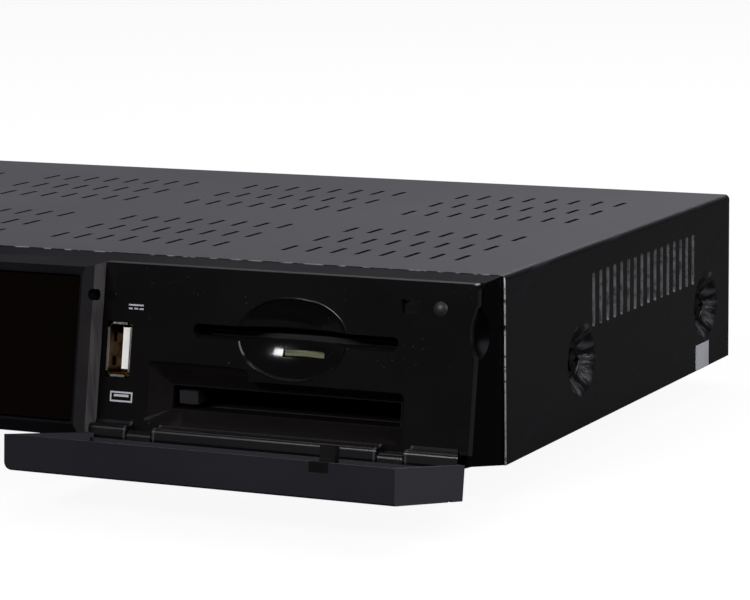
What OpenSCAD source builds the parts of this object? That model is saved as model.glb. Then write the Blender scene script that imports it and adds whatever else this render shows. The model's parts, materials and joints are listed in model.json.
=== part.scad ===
// Satellite television receiver: a folded steel case on four feet with a raked plastic
// front. The right part of the front is a bay with a memory socket, a card slot and a
// module slot, closed by a shallow flap that hangs open at a right angle.
// X runs to the right seen from the front, Y to the back, Z up. The origin is the middle
// of the space that the receiver takes up with its flap open, on the surface it stands on.

/* [Case] */
// Width of the steel case
case_w = 295.2; // [285:0.1:330]
// Depth of the steel case, without the front
case_d = 163; // [160:0.5:200]
// Height of the steel case, without the feet
case_h = 46.6; // [46:0.1:50]
// Thickness of the sheet steel
sheet_t = 0.8; // [0.6:0.1:1]
// Outer radius of the two long bends of the cover
bend_r = 1.4; // [1.2:0.1:2]
// Gap between parts that are only laid against each other
fit_gap = 0.1; // [0.05:0.05:0.2]

/* [Feet] */
// Height of a foot
foot_h = 8; // [6:0.5:10]
// Radius of a foot
foot_r = 9; // [7:0.5:11]
// Distance from the case's side to the centre of a foot
foot_inset = 30; // [24:1:40]

/* [Top vents] */
// Distance between neighbouring slots of a row
slot_pitch = 6.9; // [6.5:0.1:7]
// Number of slots in a row of one group
slot_count = 8; // [6:1:8]
// Length of a slot, front to back
slot_len = 8.8; // [7:0.1:10]
// Width of a slot
slot_w = 1.3; // [1:0.1:1.6]
// Distance between neighbouring rows
row_pitch = 18; // [16:0.5:18]
// Distance between the starts of neighbouring groups
group_pitch = 68.2; // [66:0.1:70]
// Number of groups side by side
group_count = 4; // [2:1:4]
// Distance from the front edge to the first row of the front groups
front_row_y = 22.8; // [18:0.1:26]
// Distance from the front edge to the first row of the rear groups
rear_row_y = 95.2; // [90:0.1:98]

/* [Side walls] */
// Number of upright slots in each side
side_slot_count = 16; // [10:1:16]
// Distance between neighbouring side slots
side_slot_pitch = 4.98; // [4.5:0.01:5]
// Height of a side slot
side_slot_h = 14.6; // [10:0.1:16]
// Width of a side slot
side_slot_w = 2; // [1.6:0.1:2.4]
// Distance from the front edge to the first side slot
side_slot_y = 57.8; // [56:0.1:60]
// Height of a side slot's middle above the case's underside
side_slot_z = 32.1; // [31:0.1:33]
// Radius of the dished recess round a side screw
dish_r = 9.9; // [9:0.1:10.5]
// Depth of that recess
dish_d = 3.2; // [2.5:0.1:3.6]
// Radius of the flat bottom of the recess
dish_floor_r = 4.2; // [3.6:0.1:5]
// Height of the recess's centre above the case's underside
dish_z = 17.6; // [17:0.1:18.5]
// Distance from the front edge to the front recess
dish_front_y = 49.6; // [48:0.1:51]
// Distance from the back edge to the rear recess
dish_rear_in = 19.5; // [18:0.1:22]
// Width of the white label near the bottom of the right side
label_w = 10.6; // [8:0.1:12]
// Height of that label
label_h = 7; // [6:0.1:8]

/* [Front] */
// Angle at which the front leans back, in degrees
rake = 10.1; // [8:0.1:12]
// How far the edge of the front's top strip lies below the top of the cover
band_drop = 1; // [0.9:0.1:1.2]
// Distance from the case to the front face, square to the face
face_n = 27.8; // [27.6:0.1:28.4]
// Distance from the case to the face of the bay, square to the face
bay_n = 17.6; // [17.4:0.1:17.8]
// Thickness of the moulded plastic
wall = 2.4; // [2.2:0.1:2.6]
// Rise of the underside for each millimetre forward
under_rise = 0.15; // [0.12:0.01:0.16]
// Size of the bevel along the top of the face
top_bevel = 1.35; // [1:0.05:1.6]
// Distance from the case's side to the left wall of the bay
bay_in = 104.6; // [104:0.1:108]
// Distance from the case's side to the right edge of the bay panel
bay_edge = 2.5; // [2.3:0.1:3]
// Thickness of the bay panel
panel_t = 2.5; // [2.3:0.1:2.6]
// Height of the front where the window starts, along the face
window_s0 = 2.9; // [2.8:0.1:3.5]
// Gap between the window's upper edge and the edge of the top strip
window_drop = 0.5; // [0.4:0.1:3]
// Half the width of the display window
window_hw = 41.7; // [38:0.1:41.8]

/* [Flap] */
// Distance from the case to the hinge axis, square to the face
hinge_n = 19.6; // [19.55:0.05:19.8]
// Height of the hinge axis along the face
hinge_s = 0.1; // [0.05:0.05:0.2]
// Radius of a hinge knuckle
knuckle_r = 1.7; // [1.6:0.05:1.75]
// Radius of a hinge pin
pin_r = 0.9; // [0.8:0.05:1]
// Running clearance round a hinge pin
pin_fit = 0.05; // [0.02:0.01:0.1]
// Length of a hinge knuckle
knuckle_len = 6.6; // [6:0.1:8]
// Clearance of the moving parts
play = 0.35; // [0.3:0.05:0.4]
// Height of the flap's rim above its outer face
flap_depth = 8.55; // [8.2:0.05:8.6]
// Height of the flap's lower wall, the one next to the hinge
flap_low = 7.4; // [7.2:0.1:7.5]
// Gap between that wall and the rail
flap_gap = 1.3; // [1.25:0.05:1.5]
// Distance from the case to the face of the hinge rail, square to the face
rail_n = 21.3; // [21.25:0.05:21.4]
// Radius along the rail's upper front edge
rail_r = 1.2; // [1:0.1:1.4]
// Thickness of the flap's walls
flap_t = 1.7; // [1.5:0.1:1.9]
// Outward lean of the flap's free edge over its depth
flap_lean = 0.9; // [0.6:0.1:1.1]
// Distance from the case's side to the flap's right end
flap_edge = 1; // [0.8:0.1:1.2]

/* [Bay] */
// Width of the card slot
card_w = 56; // [55:0.1:57]
// Height of the card slot
card_h = 2.9; // [2.6:0.1:3.2]
// Distance from the case's side to the middle of the card slot
card_in = 50.6; // [50.4:0.1:50.8]
// Height of the card slot along the bay
card_s = 27.85; // [27.6:0.05:28]
// Half the width of the thumb dish
thumb_a = 15; // [14:0.1:15.5]
// Half the height of the thumb dish
thumb_b = 10.1; // [9.6:0.1:10.2]
// Depth of the thumb dish
thumb_d = 4; // [3.6:0.1:4.2]
// Width of the module slot
module_w = 55.4; // [55:0.1:56]
// Height of the module slot
module_h = 5.8; // [5.6:0.1:6]
// Distance from the case's side to the right end of the module slot
module_in = 22.8; // [22.6:0.1:23]
// Height of the module slot's middle above the case's underside
module_z = 12.75; // [12.7:0.05:12.9]
// Width of the eject button
eject_w = 5.2; // [5:0.1:5.4]
// Height of the eject button
eject_h = 3.2; // [3:0.1:3.4]
// Travel of the eject button
eject_travel = 4; // [3:0.5:5]
// Width of the memory socket's opening in the bay panel
usb_w = 7.2; // [7:0.1:7.4]
// Height of that opening
usb_h = 14; // [13.8:0.1:14.2]
// Width of the latch hook
hook_w = 4; // [3.6:0.1:4.2]
// Height of the latch hook along the closed front
hook_s = 37; // [36.8:0.1:37.2]

/* [Keys] */
// Radius of the standby key
standby_r = 6; // [5:0.1:7]
// Width of a channel key
key_w = 15; // [12:0.5:18]
// Height of a channel key
key_h = 6.4; // [5:0.1:7]
// Travel of a key
key_travel = 0.6; // [0.4:0.1:0.8]
// How far a key stands out of the face
key_proud = 0.9; // [0.8:0.1:1.2]

/* [Boards] */
// Thickness of a circuit board
board_t = 1.6; // [1.2:0.1:1.8]
// Height of the main board's upper side above the case's underside
board_z = 8; // [7.8:0.1:8]

/* [Rear sockets] */
// Radius of an aerial socket's thread
aerial_r = 4.76; // [4.7:0.01:4.8]
// Length of thread that stands out at the back
aerial_len = 11; // [9:0.5:12]
// Swing of the rocker switch, in degrees
rocker_swing = 16; // [12:1:18]

/* [Hidden] */
eps = 0.01;
$fn = 48;

// Places that follow from the sizes above. N is the distance from the case square to the
// front face, and S the height along that face.
side_x = case_w / 2;
bay_x = side_x - bay_in;
panel_x = side_x - bay_edge;
flap_x0 = bay_x + 2 * play;
flap_x1 = side_x - flap_edge;
inner_x = side_x - sheet_t - fit_gap;
flap_skin_s = hinge_s - (face_n - hinge_n);
flap_rim_s = flap_skin_s + flap_depth;
flap_back_n = rail_n + flap_gap;
band_z = case_h - band_drop;
flap_top_n = hinge_n + s_at(face_n, band_z) - hinge_s + 0.2;
rail_s0 = hinge_s - 1.2;
rail_s1 = hinge_s + 2.7;
rail_x1 = side_x - 3.1;
edge_r = 0.6;
// The whole receiver is drawn with its case front at Y = 0 and then moved to the origin.
front_y = fy(flap_top_n - edge_r, flap_skin_s + edge_r) - edge_r;
back_y = case_d + aerial_len;
mid_y = (front_y + back_y) / 2;

// From N and S to Y and Z, and the S at which a plane of given N reaches a height.
function fy(n, s) = -n * cos(rake) + s * sin(rake);
function fz(n, s) = n * sin(rake) + s * cos(rake);
function yz(n, s) = [fy(n, s), fz(n, s)];
function s_at(n, z) = (z - n * sin(rake)) / cos(rake);
function y_at(n, z) = fy(n, s_at(n, z));
function lerp(a, b, t) = a + (b - a) * t;

// ---------- helpers ----------
module placed() translate([0, -mid_y, foot_h]) children();
module raked() rotate([-rake, 0, 0]) children();
// Box between two corners
module span(a, b) translate(a) cube(b - a);
// Box in the leaning front's own measures
module slab(x, n, s) translate([x[0], -n[1], s[0]]) cube([x[1] - x[0], n[1] - n[0], s[1] - s[0]]);
// Drawing in the Y-Z plane, drawn out along X
module along_x(x0, x1) translate([x0, 0, 0]) rotate([90, 0, 90]) linear_extrude(x1 - x0) children();
// Drawing in the X-Z plane, drawn out along Y
module along_y(y0, y1) translate([0, y1, 0]) rotate([90, 0, 0]) linear_extrude(y1 - y0) children();
// Drawing in the X-S plane, drawn out along N
module along_n(n0, n1) translate([0, -n0, 0]) rotate([90, 0, 0]) linear_extrude(n1 - n0) children();
// Round bars along X, Y and N
module bar_x(r, x0, x1, y, z) translate([x0, y, z]) rotate([0, 90, 0]) cylinder(r = r, h = x1 - x0);
module bar_y(r, x, y0, y1, z) translate([x, y0, z]) rotate([-90, 0, 0]) cylinder(r = r, h = y1 - y0);
module bar_n(r, x, n0, n1, s) translate([x, -n0, s]) rotate([90, 0, 0]) cylinder(r = r, h = n1 - n0);
// Rectangle with round corners, about its centre
module pane(w, h, r) {
    square([w - 2 * r, h], center = true);
    square([w, h - 2 * r], center = true);
    for (x = [-1, 1], y = [-1, 1]) translate([x * (w / 2 - r), y * (h / 2 - r)]) circle(r);
}
// Slot with round ends, standing upright
module slit(w, h) {
    square([w, h - w], center = true);
    for (y = [-1, 1]) translate([0, y * (h - w) / 2]) circle(w / 2, $fn = 16);
}

// ---------- steel case ----------
rear_mid_x = 14.5;
rear_screw_xs = [-side_x + 14, rear_mid_x, side_x - 14];
rear_screw_z = case_h - 7;
dish_ys = [dish_front_y, case_d - dish_rear_in];
screw_r = 1.5;
screw_head_r = 3;
screw_head_h = 1.6;
lip_h = 6;

// The places of the top slots, as drawn from above
module top_slots() {
    row_w = (group_count - 1) * group_pitch + (slot_count - 1) * slot_pitch;
    for (g = [0:group_count - 1], i = [0:slot_count - 1], y0 = [front_row_y, rear_row_y], r = [0:2])
        translate([g * group_pitch + i * slot_pitch - row_w / 2, y0 + r * row_pitch])
            square([slot_w, slot_len], center = true);
}

// One side wall as a drawing in the Y-Z plane
module side_wall() difference() {
    square([case_d, case_h - bend_r]);
    for (i = [0:side_slot_count - 1])
        translate([side_slot_y + i * side_slot_pitch, side_slot_z]) slit(side_slot_w, side_slot_h);
    for (y = dish_ys) translate([y, dish_z]) circle(dish_r);
}

// Pressed recess round a screw hole, its mouth in the plane Z = 0 and its depth below
dish_steps = 8;
function dish_at(t) = [lerp(dish_r, dish_floor_r, t), -dish_d * (1 - cos(180 * t)) / 2];
module screw_dish() rotate_extrude()
    polygon(concat(
        [for (i = [0:dish_steps]) dish_at(i / dish_steps)],
        [[screw_r + fit_gap, -dish_d], [screw_r + fit_gap, -dish_d - sheet_t]],
        [for (i = [dish_steps:-1:0]) dish_at(i / dish_steps) - [0, sheet_t]]));

module top_cover() color("#3c3b40") placed() {
    translate([0, 0, case_h - sheet_t]) linear_extrude(sheet_t) difference() {
        translate([-side_x + bend_r, 0]) square([case_w - 2 * bend_r, case_d]);
        top_slots();
    }
    for (m = [0, 1]) mirror([m, 0, 0]) {
        along_y(0, case_d) translate([side_x - bend_r, case_h - bend_r]) intersection() {
            difference() {
                circle(bend_r);
                circle(bend_r - sheet_t);
            }
            square(bend_r);
        }
        along_x(side_x - sheet_t, side_x) side_wall();
        for (y = dish_ys) translate([side_x, y, dish_z]) rotate([0, 90, 0]) screw_dish();
    }
}

// Ear of the tray behind each screw recess
ear_x = side_x - dish_d - sheet_t;
ear_w = 12;
module base_tray() color("#8f9194") placed() {
    span([-inner_x, 0, 0], [inner_x, case_d, sheet_t]);
    difference() {
        span([-inner_x, 0, 0], [inner_x, sheet_t, lip_h]);
        // slots for the tongues of the front
        for (x = tab_xs) span([x - tab_w / 2 - play, -1, tab_z - fit_gap],
            [x + tab_w / 2 + play, sheet_t + 1, tab_z + tab_t + fit_gap]);
    }
    for (m = [0, 1]) mirror([m, 0, 0]) {
        span([inner_x - sheet_t, 0, 0], [inner_x, case_d - sheet_t, lip_h]);
        for (y = dish_ys) difference() {
            span([ear_x - sheet_t, y - ear_w / 2, 0], [ear_x, y + ear_w / 2, dish_z + ear_w / 2]);
            bar_x(screw_r + fit_gap, ear_x - 2 * sheet_t, ear_x + sheet_t, y, dish_z);
        }
    }
    for (x = rear_screw_xs) difference() {
        span([x - ear_w / 2, case_d - 2 * sheet_t, case_h - 14], [x + ear_w / 2, case_d - sheet_t,
            case_h - sheet_t - fit_gap]);
        bar_y(screw_r + fit_gap, x, case_d - 3 * sheet_t, case_d, rear_screw_z);
    }
    for (x = rear_screw_xs)
        span([x - ear_w / 4, case_d - 2 * sheet_t, 0], [x + ear_w / 4, case_d - sheet_t, case_h - 14 + eps]);
}

module side_label() color("#e8e9ea") placed()
    span([side_x, dish_ys[1] - label_w + 2.2, 0.2], [side_x + 0.12, dish_ys[1] + 2.2, 0.2 + label_h]);

module feet() color("#161617") placed()
    for (x = [-side_x + foot_inset, side_x - foot_inset], y = [foot_inset, case_d - foot_inset])
        translate([x, y, 0]) mirror([0, 0, 1]) difference() {
            union() {
                cylinder(r = foot_r, h = foot_h - 1);
                translate([0, 0, foot_h - 1]) cylinder(r1 = foot_r, r2 = foot_r - 1, h = 1, $fn = 48);
            }
            translate([0, 0, foot_h - 2]) cylinder(r = foot_r / 2, h = 3);
        }

// Round-headed screw, head outward along +Z, its seat at Z = 0
cross_w = 0.9;
module screw(len) difference() {
    union() {
        translate([0, 0, -len]) cylinder(r = screw_r, h = len + eps);
        cylinder(r = screw_head_r, h = screw_head_h * 0.6);
        translate([0, 0, screw_head_h * 0.6])
            cylinder(r1 = screw_head_r, r2 = screw_head_r * 0.6, h = screw_head_h * 0.4);
    }
    for (a = [0, 90]) rotate(a)
        translate([-screw_head_r * 0.6, -cross_w / 2, screw_head_h / 2])
            cube([screw_head_r * 1.2, cross_w, screw_head_h]);
}
module cover_side_screws() color("#2a2a2c") placed() for (m = [0, 1], y = dish_ys) mirror([m, 0, 0])
    translate([side_x - dish_d, y, dish_z]) rotate([0, 90, 0]) screw(6);
module cover_rear_screws() color("#2a2a2c") placed() for (x = rear_screw_xs)
    translate([x, case_d, rear_screw_z]) rotate([-90, 0, 0]) screw(6);

// ---------- rear panel and its sockets ----------
aerial_xs = [side_x - 55.6, side_x - 31.6];
aerial_z = board_z + 10;
video_x = 54;
network_x = 28;
phono_xs = [-22, -9, 4];
phono_z = board_z + 7.5;
optical_x = -40;
inlet_x = -side_x + 29.6;
rocker_x = -side_x + 61.6;
power_z = 22;
video_size = [15, 6.2];
network_size = [16, 13.4];
optical_size = [9.7, 9.7];
inlet_size = [22, 13];
rocker_size = [21, 15];
phono_r = 4.15;
can_hole_r = 6.5;
module socket_holes() {
    for (x = aerial_xs) translate([x, aerial_z]) circle(aerial_r + 0.3);
    translate([video_x, board_z + video_size[1] / 2]) square(video_size + [0.4, 0.4], center = true);
    translate([network_x, board_z + network_size[1] / 2]) square(network_size + [0.4, 0.4], center = true);
    for (x = phono_xs) translate([x, phono_z]) circle(phono_r + 0.6);
    translate([optical_x, board_z + optical_size[1] / 2]) square(optical_size + [0.4, 0.4], center = true);
    translate([inlet_x, power_z]) pane(inlet_size[0] + 0.2, inlet_size[1] + 0.2, 1.5);
    translate([rocker_x, power_z]) pane(rocker_size[0] + 0.2, rocker_size[1] + 0.2, 1);
}
// Outline of the rear panel, its upper corners cut back to clear the bends of the cover
module rear_outline() {
    z0 = sheet_t + fit_gap;
    z1 = case_h - sheet_t - fit_gap;
    cut = bend_r - sheet_t;
    polygon([[-inner_x, z0], [inner_x, z0], [inner_x, z1 - cut], [inner_x - cut, z1],
        [-inner_x + cut, z1], [-inner_x, z1 - cut]]);
}
module rear_panel() color("#46464a") placed() along_y(case_d - sheet_t, case_d) difference() {
    rear_outline();
    socket_holes();
    for (x = rear_screw_xs) translate([x, rear_screw_z]) circle(screw_r + fit_gap);
}

can_size = [46, 42, 20];
module tuner_can() color("#b9bcc0") placed() {
    x0 = aerial_xs[0] - 11;
    y1 = case_d - sheet_t - fit_gap;
    difference() {
        span([x0, y1 - can_size[1], board_z], [x0 + can_size[0], y1, board_z + can_size[2]]);
        for (x = aerial_xs) bar_y(aerial_r + fit_gap, x, y1 - 4, y1 + 1, aerial_z);
        span([x0 + 3, y1 - can_size[1] + 3, board_z + can_size[2] - 0.6],
            [x0 + can_size[0] - 3, y1 - 3, board_z + can_size[2] + 1]);
    }
}
// Threaded barrels with a hexagonal shoulder and a centre hole
module aerial_sockets() color("#c9c6bd") placed() for (x = aerial_xs) difference() {
    union() {
        bar_y(aerial_r, x, case_d - sheet_t - 3.5, case_d + aerial_len, aerial_z);
        translate([x, case_d + fit_gap, aerial_z]) rotate([-90, 0, 0]) cylinder(r = 6.3, h = 2, $fn = 6);
    }
    bar_y(0.9, x, case_d + aerial_len - 7, case_d + aerial_len + 1, aerial_z);
}
module hollow_socket(x, size, depth, rim, proud) difference() {
    span([x - size[0] / 2, case_d - depth, board_z], [x + size[0] / 2, case_d + proud, board_z + size[1]]);
    span([x - size[0] / 2 + rim, case_d - depth + 2, board_z + rim],
        [x + size[0] / 2 - rim, case_d + proud + 1, board_z + size[1] - rim]);
}
module video_socket() color("#b4b6b9") placed() {
    hollow_socket(video_x, video_size, 11, 0.6, 0.6);
    span([video_x - 5.5, case_d - 9.5, board_z + 2.7], [video_x + 5.5, case_d - 1, board_z + 3.7]);
}
network_rim = 2;
module network_socket() color("#a9abae") placed() difference() {
    hollow_socket(network_x, network_size, 15, network_rim, 0.6);
    span([network_x - 3.2, case_d - 8, board_z + 0.8],
        [network_x + 3.2, case_d + 2, board_z + network_rim + 0.5]);
}
phono_len = 9;
module phono_shells() color("#c7c8ca") placed() for (x = phono_xs) difference() {
    bar_y(phono_r, x, case_d - 3, case_d + phono_len, phono_z);
    bar_y(phono_r - 0.5, x, case_d - 4, case_d + phono_len + 1, phono_z);
}
module phono_inserts() color("#d8b23a") placed() for (x = phono_xs) difference() {
    union() {
        span([x - 5, case_d - 14, board_z], [x + 5, case_d - 3, phono_z + 5]);
        bar_y(phono_r - 0.5, x, case_d - 4, case_d + phono_len - 1, phono_z);
    }
    bar_y(1.65, x, case_d - 2, case_d + phono_len, phono_z);
}
module optical_socket() color("#202022") placed() difference() {
    span([optical_x - optical_size[0] / 2, case_d - 13, board_z],
        [optical_x + optical_size[0] / 2, case_d + 0.8, board_z + optical_size[1]]);
    span([optical_x - 2.6, case_d - 0.6, board_z + 2.4], [optical_x + 2.6, case_d + 2, board_z + 7.4]);
}

// Two-pin mains inlet: a flanged housing with a waisted cavity
inlet_depth = 14;
inlet_cavity = [15.8, 8.2];
pin_pitch = 8.6;
module inlet_outline(w, h) {
    for (x = [-1, 1]) translate([x * (w - h) / 2, 0]) circle(h / 2);
    square([w - h, h - 0.8], center = true);
}
module mains_inlet() color("#18181a") placed() translate([inlet_x, 0, power_z]) difference() {
    union() {
        along_y(case_d - inlet_depth - 2, case_d + fit_gap) pane(inlet_size[0], inlet_size[1], 1.4);
        along_y(case_d + fit_gap, case_d + 2.2) pane(inlet_size[0] + 3, inlet_size[1] + 3, 2.4);
        span([-4, case_d - inlet_depth - 2, -power_z + lip_h + 0.4],
            [4, case_d - inlet_depth + 1, -inlet_size[1] / 2 + 1]);
    }
    along_y(case_d - inlet_depth + 2.2, case_d + 3) inlet_outline(inlet_cavity[0], inlet_cavity[1]);
    for (x = [-1, 1]) bar_y(1.2, x * pin_pitch / 2, case_d - inlet_depth - 3, case_d, 0);
}
module inlet_pins() color("#c9b268") placed() translate([inlet_x, 0, power_z])
    for (x = [-1, 1]) bar_y(1.2, x * pin_pitch / 2, case_d - inlet_depth - 5, case_d - 2, 0);

// Rocker switch: a frame, and a rocker that tips on a cross pin
rocker_y = case_d - 3;
rocker_w = 12;
rocker_h = 10.6;
rocker_pin_r = 1.2;
module switch_frame() color("#18181a") placed() translate([rocker_x, 0, power_z]) difference() {
    union() {
        along_y(case_d - 14, case_d + fit_gap) pane(rocker_size[0], rocker_size[1], 1);
        along_y(case_d + fit_gap, case_d + 1.8) pane(rocker_size[0] + 3, rocker_size[1] + 3, 2);
    }
    along_y(case_d - 11, case_d + 3) square([rocker_w + 2 * play, rocker_h + 2.4], center = true);
    bar_x(rocker_pin_r + pin_fit, -rocker_w / 2 - 2.4, rocker_w / 2 + 2.4, rocker_y, 0);
}
module switch_rocker() color("#1d1d1f") placed()
    translate([rocker_x, rocker_y, power_z]) rotate([-rocker_swing / 2, 0, 0]) {
        along_x(-rocker_w / 2, rocker_w / 2) difference() {
            union() {
                translate([-2.5, -rocker_h / 2]) square([7, rocker_h]);
                circle(3);
            }
            translate([4.5 + 15.2, 0]) circle(16, $fn = 96);
        }
        bar_x(rocker_pin_r, -rocker_w / 2 - 2.1, rocker_w / 2 + 2.1, 0, 0);
    }

// ---------- leaning front ----------
face_top_s = s_at(face_n, band_z - top_bevel);
window_s1 = face_top_s - window_drop;
under_y = -24.9;
pillar_n = 23.1;
pillar_lean = 0.7;
notch_n = 22.3;
notch_s = 34.8;
notch_r = 1.4;
inner_n = face_n - wall;
bay_back_n = bay_n - panel_t;
edge_show = 0.2;
band_back_z = case_h - edge_show;
band_y = y_at(bay_back_n, band_z);

// Outline of the deep part of the front, seen from the side
module deep_outline() polygon([[0, 0], [under_y, -under_rise * under_y], yz(face_n, window_s0 - 0.6),
    yz(face_n, face_top_s), [fy(face_n, face_top_s) + top_bevel, band_z], [band_y, band_z],
    [0, band_back_z]]);
module deep_hollow() polygon([[1, wall], [under_y + 1.6, wall - under_rise * under_y],
    yz(inner_n, window_s0 + 1), yz(inner_n, face_top_s - 1.4),
    [fy(inner_n, face_top_s), band_z - wall], [1, band_z - wall]]);
// Sill under the bay, seen from the side
module sill_outline() polygon([[0, 0], yz(bay_back_n, -0.4), yz(bay_back_n, 2), [0, wall]]);
// The right side wall starts beside the cover's cut edge and leans in towards the front
wall_x = side_x - 0.7;
side_lean = 0.2;
module side_lean_cut() linear_extrude(case_h * 2, center = true)
    polygon([[wall_x, 1], [wall_x, 0], [wall_x - 40 * side_lean, -40], [side_x + 9, -40], [side_x + 9, 1]]);

knuckle_xs = [bay_x + 11.1, side_x - 24.6];
boss_ps = [for (x = [-side_x + 12, -window_hw - 9], s = [8, window_s1 - 4.5]) [x, s]];
front_board_n = 16;
key_panel_x = -(side_x - bay_in / 2);
standby_p = [key_panel_x - 22, 21];
channel_ps = [[key_panel_x + 22, 27.5], [key_panel_x + 22, 14.5]];
tab_xs = [-side_x + 30, -40, 40, side_x - 30];
tab_w = 12;
tab_t = 1.4;
tab_z = sheet_t + 1;

module key_holes(grow) {
    translate(standby_p) circle(standby_r + grow);
    for (p = channel_ps) translate(p) pane(key_w + 2 * grow, key_h + 2 * grow, 1.5);
}

module front_fascia() color("#2c2b31") placed() {
    // deep part: keys on the left, display in the middle
    difference() {
        along_x(-side_x + flap_edge, bay_x) deep_outline();
        along_x(-side_x + flap_edge + wall, bay_x - 2) deep_hollow();
        raked() {
            along_n(inner_n - 3, face_n + 1) translate([0, (window_s0 + window_s1) / 2])
                pane(2 * window_hw, window_s1 - window_s0, 0.8);
            along_n(inner_n - 1, face_n + 1) key_holes(play);
            // bevel beside the bay, a groove beside the keys and a small notch
            linear_extrude(case_h * 3, center = true) polygon([[bay_x - pillar_lean, -face_n],
                [bay_x, -pillar_n], [bay_x + 1, -pillar_n], [bay_x + 1, -face_n - 1],
                [bay_x - pillar_lean, -face_n - 1]]);
            slab([-bay_x - 0.6, -bay_x + 0.6], [face_n - 1.2, face_n + 1], [-5, case_h]);
            for (n = [notch_n - notch_r, notch_n + notch_r])
                bar_x(notch_r, bay_x - 1.5, bay_x + 1, -n, notch_s);
            slab([bay_x - 1.5, bay_x + 1], [notch_n - notch_r, notch_n + notch_r],
                [notch_s - notch_r, notch_s + notch_r]);
        }
    }
    // ledge that the window is laid on
    raked() along_n(inner_n - 1.1, inner_n - 0.1) difference() {
        translate([-0.5, (window_s0 + window_s1) / 2])
            square([2 * window_hw + 2, window_s1 - window_s0 + 3], center = true);
        translate([0, (window_s0 + window_s1) / 2])
            square([2 * window_hw - 3, window_s1 - window_s0 - 3], center = true);
    }
    // posts behind the face for the front board
    raked() for (p = boss_ps) difference() {
        bar_n(2.6, p[0], front_board_n + board_t, inner_n + 0.5, p[1]);
        bar_n(1, p[0], front_board_n, front_board_n + 7, p[1]);
    }
    // strip over the bay, sill under it and the wall at its right
    difference() {
        union() {
            along_x(bay_x - 1, side_x) polygon([[0, band_z - wall], [0, band_back_z],
                [band_y, band_z], [y_at(bay_back_n, band_z - wall), band_z - wall]]);
            along_x(bay_x - 1, side_x - 1) sill_outline();
            difference() {
                along_x(side_x - 12, side_x) polygon([[0, 0], yz(bay_back_n, -0.4),
                    [band_y, band_z], [0, band_back_z]]);
                linear_extrude(case_h * 2, center = true) polygon([[wall_x - wall, 1],
                    [wall_x - wall, 0], [wall_x - wall - 40 * side_lean, -40],
                    [side_x - 30, -40], [side_x - 30, 1]]);
            }
        }
        side_lean_cut();
        translate([side_x + 4.4, -13, fz(12, 31.8)]) sphere(r = 10);
    }
    // tongues that reach under the cover and behind the tray's lip
    for (x = tab_xs) {
        span([x - tab_w / 2, -2, band_z - 1.9], [x + tab_w / 2, 7, band_z - 0.2]);
        span([x - tab_w / 2, -2, tab_z], [x + tab_w / 2, sheet_t + 1.5, tab_z + tab_t]);
    }
}

// ---------- panel at the back of the bay ----------
card_x = side_x - card_in;
card_z = fz(bay_n, card_s);
module_x1 = side_x - module_in;
module_x0 = module_x1 - module_w;
eject_x = module_x0 - 0.6 - eject_w / 2;
mouth_x0 = eject_x - eject_w / 2 - 1.6;
usb_x = side_x - 99.6;
usb_s = 21.5;
hook_x = side_x - 20.2;
thumb_x = side_x - 51.2;
thumb_s = 27;
dome_x = side_x - 12.1;
funnel_n = 13.1;
boss_n = 8;
read_slot = [11.8, 1.9];
read_x = side_x - 49.2;
read_z = 25.75;

// Oval dish: a ring surface whose two radii give the dish its width and height
module thumb_bowl(grow) {
    r_small = (thumb_b * thumb_b + thumb_d * thumb_d) / (2 * thumb_d);
    r_large = (thumb_a * thumb_a + thumb_d * thumb_d) / (2 * thumb_d);
    translate([thumb_x, -bay_n - (r_large - thumb_d), thumb_s]) rotate_extrude($fn = 96)
        intersection() {
            translate([r_large - r_small, 0]) circle(r_small + grow, $fn = 96);
            translate([0, -r_small - grow]) square(2 * (r_large + grow));
        }
}
// Mouth of the module slot: wide at the face, narrowing to the slot
mouth_r = 1.4;
module funnel(x0, x1, s0, s1) hull() {
    raked() for (x = [x0 + mouth_r, x1 - mouth_r], s = [s0 + mouth_r, s1 - mouth_r])
        translate([x, -bay_n, s]) rotate([90, 0, 0]) cylinder(r = mouth_r, h = 0.5, $fn = 24);
    raked() slab([mouth_x0 - 0.6, module_x1 + 0.3], [funnel_n, funnel_n + 0.1],
        [s_at(funnel_n, module_z - module_h / 2) - 0.3, s_at(funnel_n, module_z + module_h / 2) + 0.3]);
}
module bay_outline() polygon([yz(bay_back_n, rail_s1 - 0.4), yz(bay_n, rail_s1 - 0.4),
    yz(bay_n, s_at(bay_n, band_z)), yz(bay_back_n, s_at(bay_back_n, band_z))]);
// Hinge rail along the foot of the panel, seen from the side in the panel's own plane
module rail_outline() {
    translate([rail_r - rail_n, rail_s0]) square([rail_n - rail_r - bay_back_n, rail_s1 - rail_s0]);
    translate([-rail_n, rail_s0 + rail_r]) square([rail_r + 0.5, rail_s1 - rail_s0 - 2 * rail_r]);
    for (s = [rail_s0 + rail_r, rail_s1 - rail_r]) translate([rail_r - rail_n, s]) circle(rail_r);
    polygon([[-bay_n - 1, rail_s1 - 0.1], [-bay_n - 0.4, rail_s1 + 0.3], [-bay_n, rail_s1 + 1.1],
        [-bay_n + 0.1, rail_s1 + 1.1], [-bay_n + 0.1, rail_s1 - 0.1]]);
}
module rail() difference() {
    raked() along_x(bay_x, rail_x1) rail_outline();
    for (x = knuckle_xs) raked() {
        slab([x - play, x + knuckle_len + play], [hinge_n - knuckle_r - play, rail_n + 1], [-5, rail_s1 + 2]);
        translate([x - 3, -hinge_n, hinge_s]) rotate([0, 90, 0])
            cylinder(r = pin_r + 0.02, h = knuckle_len + 6);
    }
    // the right end slants back
    raked() linear_extrude(20, center = true)
        polygon([[rail_x1, -rail_n - 1], [rail_x1 + 1, -rail_n - 1], [rail_x1 + 1, -bay_back_n + 1],
            [rail_x1 - 0.45 * (rail_n + 1 - bay_back_n + 1), -bay_back_n + 1]]);
}

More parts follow.
